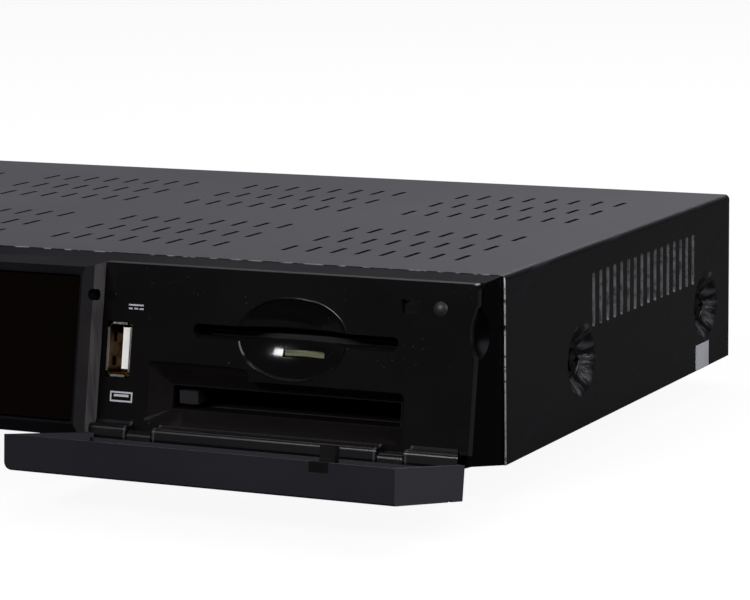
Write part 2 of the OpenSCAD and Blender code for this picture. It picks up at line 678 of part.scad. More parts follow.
corner_r = 1.4;
scallop_r = 14.2;
scallop_d = 1.5;
module bay_panel() color("#201f22") placed() difference() {
    union() {
        along_x(bay_x, panel_x) bay_outline();
        rail();
        // small dome beside the latch hole
        raked() translate([dome_x, -(bay_n - 1.8), hook_s - 0.2]) sphere(r = 2.6);
        // housing of the module slot and shell of the thumb dish, behind the panel
        raked() slab([mouth_x0 - 5, module_x1 + 4], [boss_n, bay_back_n + eps], [rail_s1, 21]);
        intersection() {
            raked() thumb_bowl(1.4);
            raked() slab([thumb_x - 20, thumb_x + 20], [6, bay_back_n + eps], [10, 42]);
        }
        for (s = [7, 37]) raked() bar_n(2.2, usb_x + 7.6, 3.1, bay_back_n + eps, s);
    }
    raked() thumb_bowl(0);
    along_y(-30, -3) translate([card_x, card_z]) pane(card_w, card_h, card_h / 2 - 0.05);
    // sloping lower lip of the card slot
    raked() hull() {
        slab([card_x - card_w / 2 + 1, card_x + card_w / 2 - 1], [bay_n, bay_n + 0.5],
            [card_s - card_h / 2 - 0.8, card_s]);
        slab([card_x - card_w / 2 + 1, card_x + card_w / 2 - 1], [bay_n - 1.2, bay_n - 1.1],
            [card_s - card_h / 2 + 0.2, card_s]);
    }
    along_y(-30, -3) translate([read_x, read_z]) square(read_slot, center = true);
    funnel(side_x - 91, side_x - 67, 3.5, 19.3);
    funnel(side_x - 91, side_x - 20.1, 3.5, 16);
    along_y(-30, 2) translate([(mouth_x0 + module_x1) / 2, module_z])
        square([module_x1 - mouth_x0, module_h], center = true);
    raked() slab([usb_x - usb_w / 2, usb_x + usb_w / 2], [0, bay_n + 1], [usb_s - usb_h / 2,
        usb_s + usb_h / 2]);
    raked() slab([hook_x - hook_w / 2 - play, hook_x + hook_w / 2 + play], [5, bay_n + 1],
        [hook_s - 1.65, hook_s + 1.65]);
    // finger scallop and rounded top corner at the right edge
    raked() bar_n(scallop_r, panel_x + scallop_r - scallop_d, 5, bay_n + 1, 31.8);
    difference() {
        span([panel_x - corner_r, -30, band_z - corner_r], [panel_x + 1, 2, band_z + 1]);
        bar_y(corner_r, panel_x - corner_r, -31, 3, band_z - corner_r);
    }
    // room for the front's right wall
    difference() {
        span([side_x - 9, -30, 0], [side_x, 1, band_z - eps]);
        raked() slab([side_x - 10, side_x + 1], [bay_back_n - eps, 60], [-20, 80]);
    }
}

// ---------- display and keys ----------
module display_window() color("#0b0707") placed() raked()
    along_n(inner_n - 0.1, inner_n + 1.7) translate([0, (window_s0 + window_s1) / 2])
        pane(2 * window_hw - 0.9, window_s1 - window_s0 - 0.9, 0.6);
module display_module() color("#141416") placed() raked() {
    slab([-37, 26], [front_board_n + board_t, inner_n - 1.6], [6.5, 36]);
    slab([-35, 24], [inner_n - 1.6, inner_n - 1.2], [8, 34.5]);
}
module remote_sensor() color("#241a1c") placed() raked() {
    slab([30.5, 36.5], [front_board_n + board_t, front_board_n + board_t + 4], [18, 26]);
    translate([33.5, -(front_board_n + board_t + 4), 22]) sphere(r = 2.4);
}
module front_board() color("#1f5a36") placed() raked() {
    difference() {
        slab([-side_x + 6, bay_x - 2.6], [front_board_n, front_board_n + board_t], [4, window_s1 + 0.5]);
        for (p = boss_ps) bar_n(1.2, p[0], front_board_n - 1, front_board_n + board_t + 1, p[1]);
    }
    ribbon_plug();
}
module ribbon_plug() slab([-32, -4], [front_board_n - 5, front_board_n], [16, 21]);
switch_n = front_board_n + board_t;
key_back_n = switch_n + 5 + key_travel + 0.3;
module key_switches() color("#9a9c9f") placed() raked() for (p = concat([standby_p], channel_ps)) {
    slab([p[0] - 3, p[0] + 3], [switch_n, switch_n + 3.5], [p[1] - 3, p[1] + 3]);
    bar_n(1.6, p[0], switch_n + 3.5, switch_n + 5, p[1]);
}
flange = 1.3;
module standby_key() color("#37363c") placed() raked() {
    x = standby_p[0];
    s = standby_p[1];
    bar_n(standby_r, x, inner_n - 0.4, face_n + key_proud - 0.5, s);
    translate([x, -(face_n + key_proud - 0.5), s]) rotate([90, 0, 0])
        cylinder(r1 = standby_r, r2 = standby_r - 0.5, h = 0.5, $fn = 48);
    bar_n(standby_r + flange, x, inner_n - 1.3, inner_n - 0.3, s);
    bar_n(1.6, x, key_back_n, inner_n - 1, s);
}
module channel_key(p) {
    along_n(inner_n - 0.4, face_n + key_proud) translate(p) pane(key_w, key_h, 1.5);
    along_n(inner_n - 1.3, inner_n - 0.3) translate(p) pane(key_w + 2 * flange, key_h + 2 * flange, 1.5);
    bar_n(1.6, p[0], key_back_n, inner_n - 1, p[1]);
}
module channel_up_key() color("#37363c") placed() raked() channel_key(channel_ps[0]);
module channel_down_key() color("#37363c") placed() raked() channel_key(channel_ps[1]);

// ---------- memory socket ----------
usb_board_n = 1.5;
usb_back_n = usb_board_n + board_t;
usb_sheet = 0.35;
usb_lip = 0.2;
// Folded sheet tube with four flared lips at its mouth and springs pressed out of its left wall
module usb_shell() color("#b8a878") placed() raked() {
    w = usb_w - 0.3 - 2 * usb_lip;
    h = usb_h - 0.3 - 2 * usb_lip;
    lip_n = bay_n - 1.1;
    difference() {
        along_n(usb_back_n, lip_n + 0.1) translate([usb_x, usb_s]) pane(w, h, 0.8);
        along_n(usb_back_n + 1, bay_n) translate([usb_x, usb_s])
            pane(w - 2 * usb_sheet, h - 2 * usb_sheet, 0.8 - usb_sheet);
    }
    for (m = [-1, 1]) {
        x = usb_x + m * (w / 2 + usb_lip / 2 - usb_sheet / 2);
        s = usb_s + m * (h / 2 + usb_lip / 2 - usb_sheet / 2);
        slab([x - usb_sheet / 2 - usb_lip / 2, x + usb_sheet / 2 + usb_lip / 2], [lip_n, lip_n + 0.8],
            [usb_s - h / 2 + 1.2, usb_s + h / 2 - 1.2]);
        slab([usb_x - w / 2 + 1.2, usb_x + w / 2 - 1.2], [lip_n, lip_n + 0.8],
            [s - usb_sheet / 2 - usb_lip / 2, s + usb_sheet / 2 + usb_lip / 2]);
    }
    x = usb_x - w / 2 + usb_sheet - eps;
    for (s = [usb_s - 4.2, usb_s + 1.8]) translate([x, 0, s]) linear_extrude(2.4)
        polygon([[0, -6.6], [1.2, -11.2], [0.6, -14.2], [0.3, -14.2], [0.9, -11.2], [0, -7.6]]);
}
module usb_tongue() color("#f2f3f4") placed() raked()
    slab([usb_x + 0.6, usb_x + 2.7], [usb_back_n + 1, bay_n - 1.1], [usb_s - 4.8, usb_s + 5.6]);
module usb_board() color("#1f5a36") placed() raked() difference() {
    slab([bay_x + 0.3, usb_x + 10.4], [usb_board_n, usb_back_n], [4, 40]);
    for (s = [7, 37]) bar_n(1, usb_x + 7.6, usb_board_n - 1, usb_back_n + 1, s);
}

// ---------- flap, drawn hanging open ----------
flap_round = 2;
flap_low_s = flap_skin_s + flap_low;
// Outline of the open flap seen from its end: outer skin below, free edge in front
module flap_outline() polygon(concat(
    [yz(flap_back_n, flap_rim_s), yz(flap_back_n, flap_skin_s)],
    [for (a = [0:15:90]) yz(flap_top_n - edge_r + edge_r * sin(a), flap_skin_s + edge_r - edge_r * cos(a))],
    [yz(flap_top_n + flap_lean, flap_rim_s)]));
module flap() color("#2f2e35") placed() {
    difference() {
        along_x(flap_x0, flap_x1) flap_outline();
        // hollow
        raked() hull() {
            slab([flap_x0 + flap_t, flap_x1 - flap_t], [flap_back_n + flap_t, flap_top_n - flap_t],
                [flap_skin_s + flap_t, flap_skin_s + flap_t + 0.1]);
            slab([flap_x0 + flap_t, flap_x1 - flap_t],
                [flap_back_n + flap_t, flap_top_n - flap_t + flap_lean],
                [flap_rim_s, flap_rim_s + 1]);
        }
        raked() slab([flap_x0 + flap_t, flap_x1 - flap_t], [flap_back_n - 1, flap_back_n + flap_t + 1],
            [flap_low_s, flap_rim_s + 1]);
        // rounded lower left edge
        raked() difference() {
            slab([flap_x0 - 1, flap_x0 + flap_round], [flap_back_n - 1, flap_top_n + 2],
                [flap_skin_s - 1, flap_skin_s + flap_round]);
            translate([flap_x0 + flap_round, -flap_back_n + 2, flap_skin_s + flap_round])
                rotate([90, 0, 0]) cylinder(r = flap_round, h = flap_top_n + 4 - flap_back_n);
        }
        // small nick in the right end's lower edge
        raked() slab([flap_x1 - 3, flap_x1 + 1], [flap_back_n + 6.3, flap_back_n + 8.4],
            [flap_skin_s - 1, flap_skin_s + 0.4]);
    }
    for (x = knuckle_xs) raked() difference() {
        union() {
            translate([x, -hinge_n, hinge_s]) rotate([0, 90, 0]) cylinder(r = knuckle_r, h = knuckle_len);
            slab([x, x + knuckle_len], [hinge_n + 0.3, hinge_n + knuckle_r], [flap_skin_s, hinge_s]);
            slab([x, x + knuckle_len], [hinge_n + knuckle_r - 0.1, flap_back_n + 0.5],
                [flap_skin_s, flap_skin_s + 3]);
        }
        translate([x - 1, -hinge_n, hinge_s]) rotate([0, 90, 0])
            cylinder(r = pin_r + pin_fit, h = knuckle_len + 2);
    }
    // latch hook: stands up from the outer skin, its back corner rounded
    hook_n = hinge_n + hook_s - hinge_s;
    hook_top = hinge_s + hinge_n - bay_n + 2.2;
    raked() translate([hook_x - hook_w / 2, 0, 0]) rotate([90, 0, 90]) linear_extrude(hook_w) {
        translate([-hook_n - 1.1, flap_skin_s + 0.5]) square([2.2, hook_top - flap_skin_s - 1.6]);
        translate([-hook_n - 1.1, hook_top - 1.2]) square([1.1, 1.2]);
        translate([-hook_n, hook_top - 1.1]) circle(1.1);
    }
    // two ribs that stiffen the hook's foot
    raked() for (x = [hook_x - hook_w / 2, hook_x + hook_w / 2 - 1])
        slab([x, x + 1], [hook_n - 4, hook_n], [flap_skin_s + 0.5, flap_skin_s + 4]);
}
module flap_hinge_pins() color("#8c8e92") placed() raked() for (x = knuckle_xs)
    translate([x - 2.8, -hinge_n, hinge_s]) rotate([0, 90, 0]) cylinder(r = pin_r, h = knuckle_len + 5.6);

// ---------- module slot and card reader ----------
cage_y0 = -4.9;
cage_y1 = 62;
cage_top = module_z + module_h / 2 + 1.4;
contact_y = 52;
module module_cage() color("#b3b5b8") placed() difference() {
    span([mouth_x0 - 1.2, cage_y0, board_z], [module_x1 + 1.4, cage_y1, cage_top]);
    span([module_x0 - 0.2, cage_y0 - 1, module_z - module_h / 2 - 0.1],
        [module_x1 + 0.2, contact_y, module_z + module_h / 2 + 0.1]);
    span([mouth_x0, cage_y0 - 1, module_z - module_h / 2], [module_x0 - 0.6 + play, cage_y1 + 1,
        module_z + module_h / 2]);
    span([module_x0 + 8, 6, cage_top - 1], [module_x1 - 8, 40, cage_top + 1]);
    span([module_x0, contact_y, board_z - 1], [module_x1, cage_y1 + 1, cage_top + 1]);
}
module module_contacts() color("#1a1a1c") placed() {
    span([module_x0 + 0.3, contact_y + 0.2, board_z], [module_x1 - 0.3, cage_y1 - 0.2, cage_top]);
    span([module_x0 + 3, contact_y - 4, module_z - 0.6], [module_x1 - 3, contact_y + 1, module_z + 0.6]);
}
eject_y0 = y_at(funnel_n, module_z) + 0.6;
eject_len = 60;
module eject_button() color("#5d5c62") placed() {
    span([eject_x - eject_w / 2, eject_y0, module_z - eject_h / 2],
        [eject_x + eject_w / 2, eject_y0 + 11, module_z + eject_h / 2]);
    span([eject_x - 0.6, eject_y0 + 10, module_z - module_h / 2 + 0.3],
        [eject_x + 0.6, eject_y0 + eject_len, module_z + module_h / 2 - 0.3]);
}

reader_y0 = -6.2;
reader_y1 = 48;
reader_board_z = read_z - board_t / 2;
reader_top = card_z + 3;
reader_hw = card_w / 2 + 1.6;
module card_reader() color("#1c1c1f") placed() difference() {
    span([card_x - reader_hw, reader_y0, read_z + board_t / 2], [card_x + reader_hw, reader_y1, reader_top]);
    span([card_x - card_w / 2, reader_y0 - 1, card_z - 0.7], [card_x + card_w / 2, reader_y1 - 3,
        card_z + 0.7]);
    span([card_x - 12, 4, card_z], [card_x + 12, 30, reader_top + 1]);
    contact_pads(0.05, 1);
}
// Card contacts, or with a margin the seats that they lie in
module contact_pads(margin, rise) for (x = [-1, 1], i = [0:3])
    translate([card_x + x * 5, 9.8 + 2.54 * i, card_z - 1.6])
        span([-1.2 - margin, -0.8 - margin, 0], [1.2 + margin, 0.8 + margin, rise]);
module card_contacts() color("#c8b26a") placed() contact_pads(0, 0.9);
module card_reader_board() color("#8f9a86") placed()
    span([card_x - reader_hw - 4, reader_y0 + 0.4, reader_board_z],
        [card_x + reader_hw + 4, reader_y1 + 4, reader_board_z + board_t]);
module reader_posts() color("#b79c4a") placed()
    for (x = [mouth_x0 - 5, module_x1 + 5], y = [board_y0 + 11, reader_y1 - 2])
        translate([x, y, board_z]) cylinder(r = 2.4, h = reader_board_z - board_z, $fn = 6);

// ---------- boards ----------
board_x0 = -56;
board_x1 = side_x - 8;
board_y0 = 10;
board_y1 = case_d - 2;
standoff_ps = [[board_x0 + 5, board_y0 + 6], [board_x1 - 5, board_y0 + 6], [board_x0 + 5, board_y1 - 24],
    [board_x1 - 5, board_y1 - 52], [20, 70]];
power_ps = [[-side_x + 12, 20], [-66, 20], [-side_x + 12, 112], [-66, 112]];
module main_board() color("#1d5f3a") placed() {
    difference() {
        span([board_x0, board_y0, board_z - board_t], [board_x1, board_y1, board_z]);
        for (p = standoff_ps) translate([p[0], p[1], 0]) cylinder(r = 1.6, h = board_z + 1);
    }
    span([-32, board_y0 + 2, board_z], [-4, board_y0 + 7, board_z + 5]);
}
module power_board() color("#b39a5c") placed() difference() {
    span([-side_x + 7, 14, board_z - board_t], [-60, 118, board_z]);
    for (p = power_ps) translate([p[0], p[1], 0]) cylinder(r = 1.6, h = board_z + 1);
}
module board_standoffs() color("#a8aaad") placed() for (p = concat(standoff_ps, power_ps))
    translate([p[0], p[1], sheet_t]) difference() {
        cylinder(r = 2.8, h = board_z - board_t - sheet_t);
        translate([0, 0, 1]) cylinder(r = screw_r + 0.05, h = board_z);
    }
module board_screws() color("#c0c2c5") placed() for (p = concat(standoff_ps, power_ps))
    translate([p[0], p[1], board_z]) screw(4.5);
module main_chip() color("#19191b") placed() span([6, 92, board_z], [33, 119, board_z + 2.2]);
module chip_cooler() color("#3a3b3e") placed() {
    span([5, 91, board_z + 2.2], [34, 120, board_z + 4.2]);
    for (i = [0:6]) span([5 + 4.4 * i, 91, board_z + 4.2], [7.4 + 4.4 * i, 120, board_z + 16]);
}
core_w = 28;
module transformer() color("#c9a23c") placed() {
    translate([-side_x + 22, 0, 0]) {
        for (y = [62, 82]) span([0, y, board_z], [core_w, y + 4, board_z + 24]);
        span([3, 66, board_z + 3], [core_w - 3, 82, board_z + 21]);
    }
}
main_can_r = 11;
main_can_h = 26;
module capacitors() color("#26262b") placed() {
    translate([-side_x + 21.6, 34, board_z]) cylinder(r = main_can_r, h = main_can_h);
    for (i = [0:2]) translate([-72, 44 + 13 * i, board_z]) cylinder(r = 5, h = 18);
}
module power_heat_sink() color("#9fa2a6") placed() {
    translate([-side_x + 39.6, 0, 0]) {
        span([0, 24, board_z], [24, 26.4, board_z + 28]);
        for (i = [0:4]) span([5.4 * i, 26, board_z + 3], [5.4 * i + 2, 38, board_z + 28]);
    }
}

// ---------- inner leads ----------
// Flat lead: straight stretches joined by round corners, drawn in a plane
module flat_lead(ps, t) for (i = [0:len(ps) - 2]) {
    d = ps[i + 1] - ps[i];
    translate(ps[i]) rotate(atan2(d[1], d[0])) translate([0, -t / 2]) square([norm(d), t]);
    if (i > 0) translate(ps[i]) circle(t / 2);
}
ribbon_t = 1;
module ribbon_cable() color("#86888c") placed() difference() {
    along_x(-30, -6) flat_lead([yz(front_board_n - 4.5, 18), [0, 24], [6, 24],
        [board_y0 + 4.5, 18], [board_y0 + 4.5, board_z + 5]], ribbon_t);
    raked() ribbon_plug();
}
module power_harness() color("#7a2f2c") placed() along_y(66, 76)
    flat_lead([[-62.5, board_z], [-62.5, board_z + 6], [-60, board_z + 9], [-56, board_z + 9],
        [-53.5, board_z + 6], [-53.5, board_z]], ribbon_t);
// Leads from the inlet to the power board, in the plane of the inlet's pins
module mains_leads() color("#3b2a26") placed() for (x = [-1, 1])
    along_x(inlet_x + x * pin_pitch / 2 - 1, inlet_x + x * pin_pitch / 2 + 1)
        flat_lead([[case_d - inlet_depth - 5, power_z], [case_d - inlet_depth - 12, power_z],
            [112, board_z + 8], [112, board_z]], 2);

top_cover();
base_tray();
rear_panel();
feet();
side_label();
cover_side_screws();
cover_rear_screws();
front_fascia();
bay_panel();
display_window();
display_module();
remote_sensor();
front_board();
key_switches();
standby_key();
channel_up_key();
channel_down_key();
usb_shell();
usb_tongue();
usb_board();
flap();
flap_hinge_pins();
module_cage();
module_contacts();
eject_button();
card_reader();
card_reader_board();
card_contacts();
reader_posts();
main_board();
main_chip();
chip_cooler();
board_standoffs();
board_screws();
power_board();
transformer();
capacitors();
power_heat_sink();
tuner_can();
aerial_sockets();
video_socket();
network_socket();
phono_shells();
phono_inserts();
optical_socket();
mains_inlet();
inlet_pins();
switch_frame();
switch_rocker();
ribbon_cable();
power_harness();
mains_leads();
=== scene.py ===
"""Looks of the satellite receiver: a finish for every node of its frame, the printed marks and
the board's tip that the frame leaves out, a studio and the camera of the photograph."""

import json
import math

import bmesh
import bpy
from mathutils import Matrix, Vector


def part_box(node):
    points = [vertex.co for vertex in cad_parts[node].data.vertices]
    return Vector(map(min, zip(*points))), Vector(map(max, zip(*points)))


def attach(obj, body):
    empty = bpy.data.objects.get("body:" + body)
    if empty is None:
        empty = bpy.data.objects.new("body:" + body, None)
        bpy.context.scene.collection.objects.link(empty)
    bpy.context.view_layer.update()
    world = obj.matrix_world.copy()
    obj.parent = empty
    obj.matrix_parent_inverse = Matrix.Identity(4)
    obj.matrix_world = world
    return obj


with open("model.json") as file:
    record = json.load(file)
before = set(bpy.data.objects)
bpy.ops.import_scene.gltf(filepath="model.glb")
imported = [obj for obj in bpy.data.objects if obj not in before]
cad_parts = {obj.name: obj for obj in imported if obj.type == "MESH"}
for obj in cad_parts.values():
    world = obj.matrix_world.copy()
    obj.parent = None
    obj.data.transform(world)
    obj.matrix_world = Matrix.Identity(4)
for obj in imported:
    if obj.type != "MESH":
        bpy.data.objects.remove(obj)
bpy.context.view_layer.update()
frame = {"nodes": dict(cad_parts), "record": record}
NODES = frame["nodes"]
MM = 0.001

# Places on the receiver, in millimetres. X runs along the front from its middle, Y from the
# case's front edge to the back, and Z up from its underside. On the leaning front N is the
# distance in front of the case's edge, and S the height along the face.
RAKE = math.radians(10.1)
SIDE_X, CASE_D, CASE_H = 147.6, 163.0, 46.6
MID_Y, FOOT_H = 56.278, 8.0
SLOTS_Y, SLOTS_Z = (55, 136), (22, 41)
DISH_YS, DISH_Z, DISH_DEPTH = (49.6, CASE_D - 19.5), 17.6, 5.0
FOLDS_START, FOLDS_END = (4.2, 5.4), (8.6, 10.0)
BAY_X, BAY_N, BAY_TOP_S = SIDE_X - 104.6, 17.6, 38
PILLAR_N = 23.1
RIGHT_WALL_X = SIDE_X - 9.0
THUMB_X, THUMB_S, THUMB_A, THUMB_B = SIDE_X - 51.2, 27.0, 15.0, 10.1
FUNNEL_TOP_S = 22
WINDOW_X, WINDOW_Z = SIDE_X - 49.2, 25.75
DOME_X, DOME_S, DOME_R = SIDE_X - 12.1, 36.8, 2.345
HINGE_N, HINGE_S, RAIL_TOP_S = 19.6, 0.1, 4.6
KNUCKLE_MIDS, KNUCKLE_HALF, KNUCKLE_R = (BAY_X + 14.4, SIDE_X - 21.3), 4.2, 2.646
HOOK_X, HOOK_S, HOOK_FOOT_S = SIDE_X - 20.2, 37.0, -2.0


def leaning(x, n, s):
    """A place on the leaning front, in metres in the shared frame."""
    y = -n * math.cos(RAKE) + s * math.sin(RAKE)
    z = n * math.sin(RAKE) + s * math.cos(RAKE)
    return Vector((x, y - MID_Y, z + FOOT_H)) * MM


# ---------- shader maths ----------
class Wire:
    """A value in a node tree. Arithmetic on it adds the nodes that work it out."""

    def __init__(self, graph, socket):
        self.graph, self.socket = graph, socket

    def maths(self, operation, *values):
        return self.graph.node("ShaderNodeMath", {"operation": operation}, *values)

    def __add__(self, other):
        return self.maths("ADD", self, other)

    __radd__ = __add__

    def __sub__(self, other):
        return self.maths("SUBTRACT", self, other)

    def __rsub__(self, other):
        return self.maths("SUBTRACT", other, self)

    def __mul__(self, other):
        return self.maths("MULTIPLY", self, other)

    __rmul__ = __mul__

    def __gt__(self, other):
        return self.maths("GREATER_THAN", self, other)

    def __lt__(self, other):
        return self.maths("LESS_THAN", self, other)

    def __abs__(self):
        return self.maths("ABSOLUTE", self)

    def clamped(self):
        return self.graph.node("ShaderNodeClamp", {}, self, 0.0, 1.0)

    def within(self, low, high):
        return (self > low) * (self < high)

    def near(self, middle, reach):
        return abs(self - middle) < reach

    def reach(self, other):
        """The distance that two offsets at right angles make together."""
        return self.maths("POWER", self * self + other * other, 0.5)

    def step(self, low, high, start=0.0, end=1.0):
        """start below low and end above high, smooth in between."""
        settings = {"interpolation_type": "SMOOTHSTEP"}
        return self.graph.node("ShaderNodeMapRange", settings, self, low, high, start, end)


class Graph:
    """The node tree of a finish or of the studio's world."""

    def __init__(self, tree):
        self.tree = tree

    def node(self, kind, settings, *values, output=0, **named):
        """Adds a node, sets it up, feeds its sockets in order or by name, and gives an output."""
        made = self.tree.nodes.new(kind)
        for key, value in settings.items():
            setattr(made, key, value)
        feeds = list(zip([s for s in made.inputs if s.enabled], values))
        feeds += [(made.inputs[key.replace("_", " ")], value) for key, value in named.items()]
        for socket, value in feeds:
            self.feed(socket, value)
        return Wire(self, made.outputs[output])

    def feed(self, socket, value):
        """Links or sets a socket. A colour is written as three numbers and is opaque."""
        if isinstance(value, Wire):
            self.tree.links.new(value.socket, socket)
        elif value is not None:
            opaque = socket.type == "RGBA" and len(value) == 3
            socket.default_value = (*value, 1.0) if opaque else value

    def axes(self, vector):
        first = self.node("ShaderNodeSeparateXYZ", {}, vector)
        return [Wire(self, socket) for socket in first.socket.node.outputs]

    def mix(self, mask, first, second):
        """first where the mask is 0 and second where it is 1, as colours."""
        settings = {"data_type": "RGBA"}
        return self.node("ShaderNodeMix", settings, mask, first, second, output=2)

    def ray(self, kind):
        """1 for a ray of the kind that asks, and 0 for any other."""
        return self.node("ShaderNodeLightPath", {}, output="Is %s Ray" % kind)


class Finish(Graph):
    """One material around a Principled shader."""

    def __init__(self, name, colour, roughness, **constants):
        self.name = name
        self.material = bpy.data.materials.new(name)
        self.material.use_nodes = True
        self.material.diffuse_color = (*colour, 1.0)
        super().__init__(self.material.node_tree)
        self.shader = self.tree.nodes["Principled BSDF"]
        self.set(Base_Color=colour, Roughness=roughness, **constants)

    def set(self, **inputs):
        for key, value in inputs.items():
            self.feed(self.shader.inputs[key.replace("_", " ")], value)
        return self

    def place(self):
        return self.node("ShaderNodeTexCoord", {}, output="Object")

    def facing(self):
        """The surface's own direction as three numbers, in the piece's own space."""
        return self.axes(self.node("ShaderNodeTexCoord", {}, output="Normal"))

    def spot(self):
        """The place on the surface in millimetres: X, Y and Z."""
        x, y, z = self.axes(self.place())
        return x * 1000, y * 1000 + MID_Y, z * 1000 - FOOT_H

    def leaning_spot(self):
        """The place in the leaning front's own measures, in millimetres: X, N and S."""
        x, y, z = self.spot()
        n = z * math.sin(RAKE) - y * math.cos(RAKE)
        return x, n, y * math.sin(RAKE) + z * math.cos(RAKE)

    def noise(self, scale, detail, stretch=None):
        where = self.place()
        if stretch:
            where = self.node("ShaderNodeVectorMath", {"operation": "MULTIPLY"}, where, stretch)
        return self.node("ShaderNodeTexNoise", {}, Vector=where, Scale=scale, Detail=detail)

    def flat_noise(self, first, second, detail):
        """Noise over two numbers, each in its own scale."""
        return self.node("ShaderNodeTexNoise", {"noise_dimensions": "2D"}, Scale=1.0,
                         Vector=self.node("ShaderNodeCombineXYZ", {}, first, second),
                         Detail=detail)

    def specks(self, scale, size):
        """Round grains a given share of a cell wide, 1 in a grain and 0 outside."""
        grain = self.node("ShaderNodeTexVoronoi", {"feature": "F1"}, Vector=self.place(),
                          Scale=scale)
        return 1.0 - grain.step(size * 0.6, size)

    def bump(self, height, depth, strength=1.0, under=None):
        return self.node("ShaderNodeBump", {}, Strength=strength, Distance=depth,
                         Height=height, Normal=under)


def shade(colour, factor):
    return tuple(min(1.0, c * factor) for c in colour)


# ---------- finishes ----------
COOL = (0.92, 0.90, 1.0)
DUST = (0.25, 0.25, 0.27)
MOULD_GRAIN = 3000


def cover_paint():
    """Dark satin paint on steel. The cuts of the side slots are bare. The front cut edges and the
    top's front edge are lightened in broken pieces: bare metal and wear, with a painted glint. The
    top is lighter with dust and a painted sheen, the sides are streaked, and the pressed dishes are
    drawn into folds that carry painted streaks of sheen."""
    paint, dust_and_sheen = (0.0055, 0.0053, 0.0064), (0.0125, 0.0120, 0.0165)
    steel, fold_sheen_and_streak, rubbed_and_lit = (0.60, 0.60, 0.63), (0.30, 0.30, 0.33), (0.62, 0.62, 0.64)
    f = Finish("cover_paint", paint, 0.36, Specular_IOR_Level=0.25, Specular_Tint=COOL)
    x, y, z = f.spot()
    _, along, up = f.facing()
    at_side = abs(x) > SIDE_X - 1.0

    slots = (abs(along) > 0.6) * at_side * y.within(*SLOTS_Y) * z.within(*SLOTS_Z)
    lip = (abs(x) > SIDE_X - 0.22) * f.noise(350, 2.0).step(0.4, 0.6)
    bare = (slots * (0.25 + 0.75 * f.noise(500, 3.0).step(0.3, 0.62) + 0.5 * lip)).clamped()

    flakes = f.noise(900, 3.0, (0.3, 0.3, 1.0))
    chips = f.noise(700, 3.0, (0.5, 1.0, 1.0)).step(0.5, 0.6)
    # the front cut edges and the top's front edge are lightened in broken pieces: bare metal and
    # wear, with a painted glint
    front_edge = (abs(x) > SIDE_X - 0.4 + flakes * 0.25) * (y < 0.35) * flakes.step(0.3, 0.5)
    top_edge = (y < 0.25) * (z > CASE_H - 0.25) * chips * 0.4
    worn_and_glint = (front_edge + top_edge).clamped()

    in_side = abs(x) > SIDE_X - DISH_DEPTH
    folds, fold_sheen = 0.0, 0.0
    for dish_y in DISH_YS:
        out_y, out_z = y - dish_y, z - DISH_Z
        reach = out_y.reach(out_z)
        turn = out_z.maths("ARCTAN2", out_z, out_y)
        crease = f.flat_noise(turn * 2.2, reach * 0.12, 3.0)
        ring = reach.step(*FOLDS_START) * (1.0 - reach.step(*FOLDS_END)) * in_side
        folds = folds + crease * ring
        # the folds' ridges are lightened: painted streaks of sheen in the pressed dishes
        fold_sheen = fold_sheen + crease.step(0.45, 0.68) * ring

    lean = 0.39
    streaks = f.flat_noise((z - y * lean) * 0.14, (y + z * lean) * 0.012, 4.0)
    streaks = streaks.step(0.5, 0.75) * at_side
    grain = f.noise(2600, 2.0)
    cloud = f.noise(9, 3.0)
    smear = f.noise(26, 4.0, (1.0, 0.25, 1.0)).step(0.45, 0.75)
    tone = f.mix(cloud.step(0.3, 0.7), shade(paint, 0.9), shade(paint, 1.1))
    # faces turned up are painted lighter and bluer: dust, with a painted sheen
    tone = f.mix((up > 0.7) * (0.6 + 0.4 * smear), tone, dust_and_sheen)
    tone = f.mix(fold_sheen * 0.25 + streaks * 0.02, tone, fold_sheen_and_streak)
    return f.set(
        Base_Color=f.mix(worn_and_glint, f.mix(bare, tone, steel), rubbed_and_lit),
        Roughness=(0.2 + 0.11 * (up > 0.3) + 0.1 * cloud + 0.05 * grain - folds * 0.15
                   + streaks * 0.2).clamped(),
        Metallic=bare * 0.3,
        Normal=f.bump(folds, 0.0009, under=f.bump(grain, 0.00003, 0.6)),
    )


